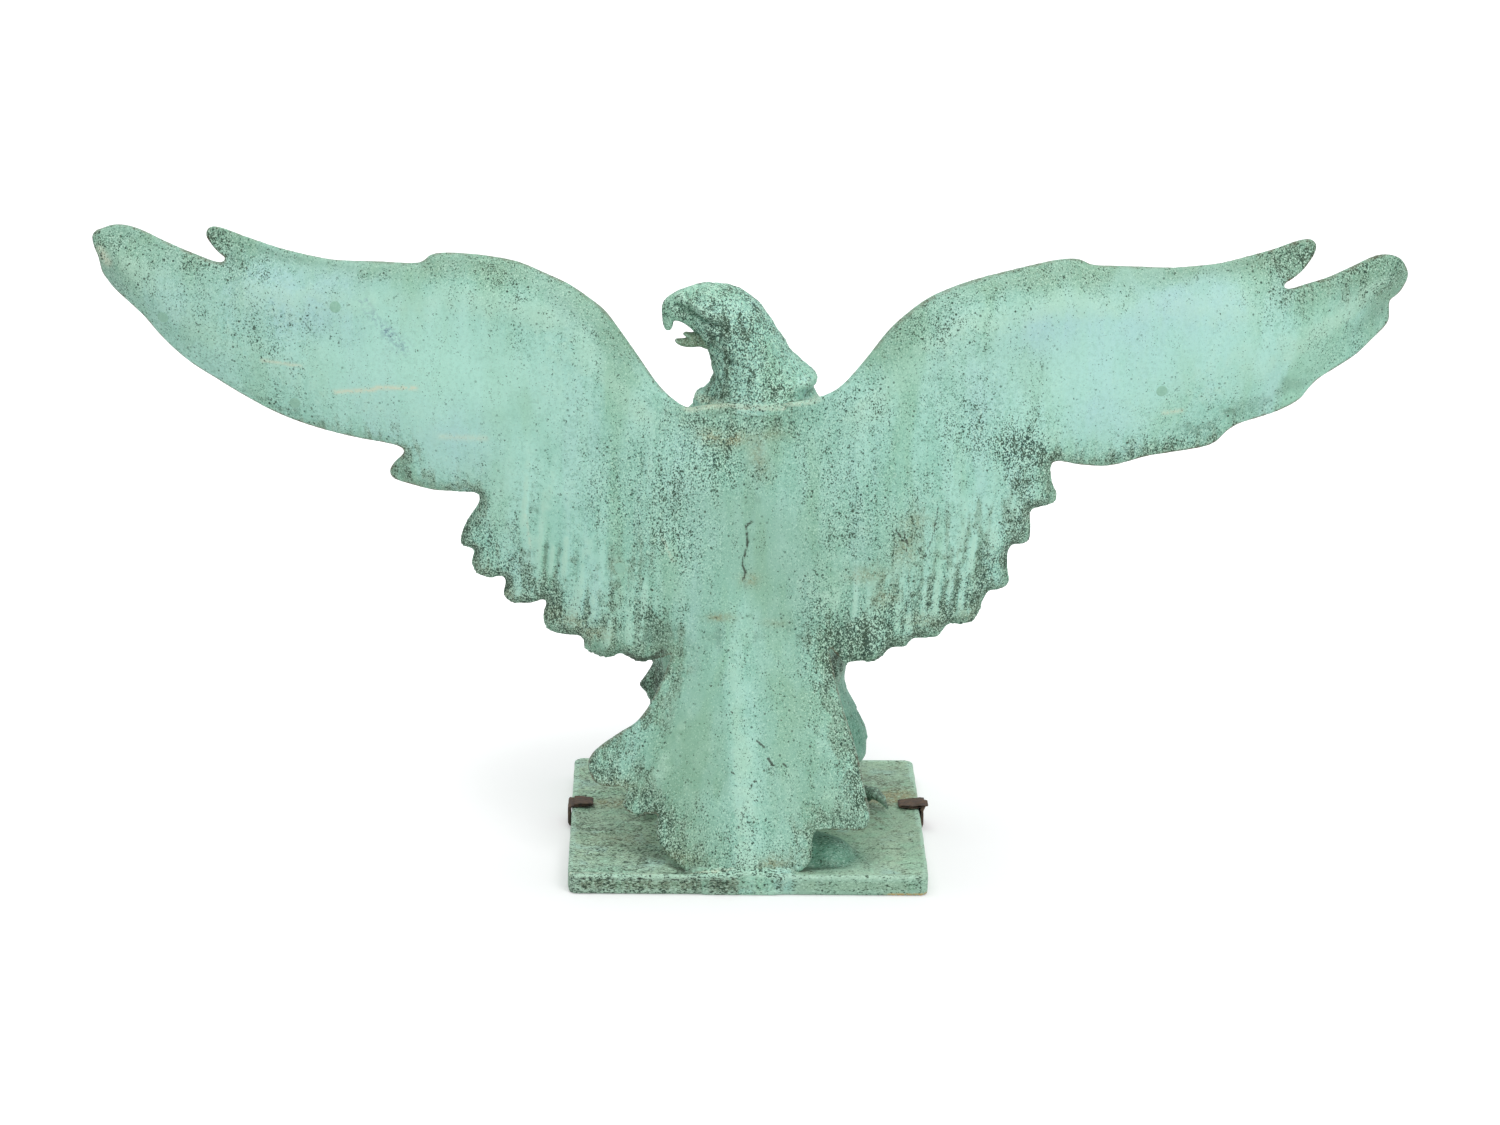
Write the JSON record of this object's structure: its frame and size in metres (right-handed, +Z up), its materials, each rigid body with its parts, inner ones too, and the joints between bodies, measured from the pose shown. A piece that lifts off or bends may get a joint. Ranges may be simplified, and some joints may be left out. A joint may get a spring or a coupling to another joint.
{
  "type": "eagle ornament",
  "caption": "Weathered cast bronze eagle with spread wings, head turned to its left, open beak and fanned tail, standing on a flat square plate held by a rusty iron strap.",
  "frame": {"origin": "centre of the base plate's underside, which is also the bottom centre of the whole ornament", "axes": "+X towards the eagle's own left wing, +Y towards its tail, +Z up; the breast faces -Y"},
  "size_m": [1.12, 0.305, 0.5306],
  "materials": {
    "green_patina": "weathered bronze under a pale green patina with dark pits",
    "dark_patina": "weathered bronze under a darker green patina",
    "bare_bronze": "dull brown bronze",
    "rusty_iron": "rusted flat bar"
  },
  "bodies": {
    "root": {"base_plate": "green_patina", "torso": "green_patina", "head": "green_patina", "left_wing": "green_patina", "right_wing": "green_patina", "tail": "green_patina", "lower_beak": "dark_patina", "left_foot": "dark_patina", "right_foot": "dark_patina", "neck_pin_left": "dark_patina", "neck_pin_right": "dark_patina", "left_wing_plug_tip": "dark_patina", "left_wing_plug_outer": "dark_patina", "left_wing_plug_upper": "dark_patina", "left_wing_plug_inner": "dark_patina", "right_wing_plug_outer": "dark_patina", "left_foot_stud": "bare_bronze", "left_foot_washer": "bare_bronze", "left_foot_nut": "bare_bronze", "tail_pin_left": "bare_bronze", "tail_bolt_left": "bare_bronze", "left_wing_bolt_1": "bare_bronze", "left_wing_bolt_2": "bare_bronze", "left_wing_bolt_3": "bare_bronze", "right_foot_stud": "bare_bronze", "right_foot_washer": "bare_bronze", "right_foot_nut": "bare_bronze", "tail_pin_right": "bare_bronze", "tail_bolt_right": "bare_bronze", "right_wing_bolt_1": "bare_bronze", "right_wing_bolt_2": "bare_bronze", "right_wing_bolt_3": "bare_bronze", "hold_down_strap": "rusty_iron"}
  },
  "joints": []
}
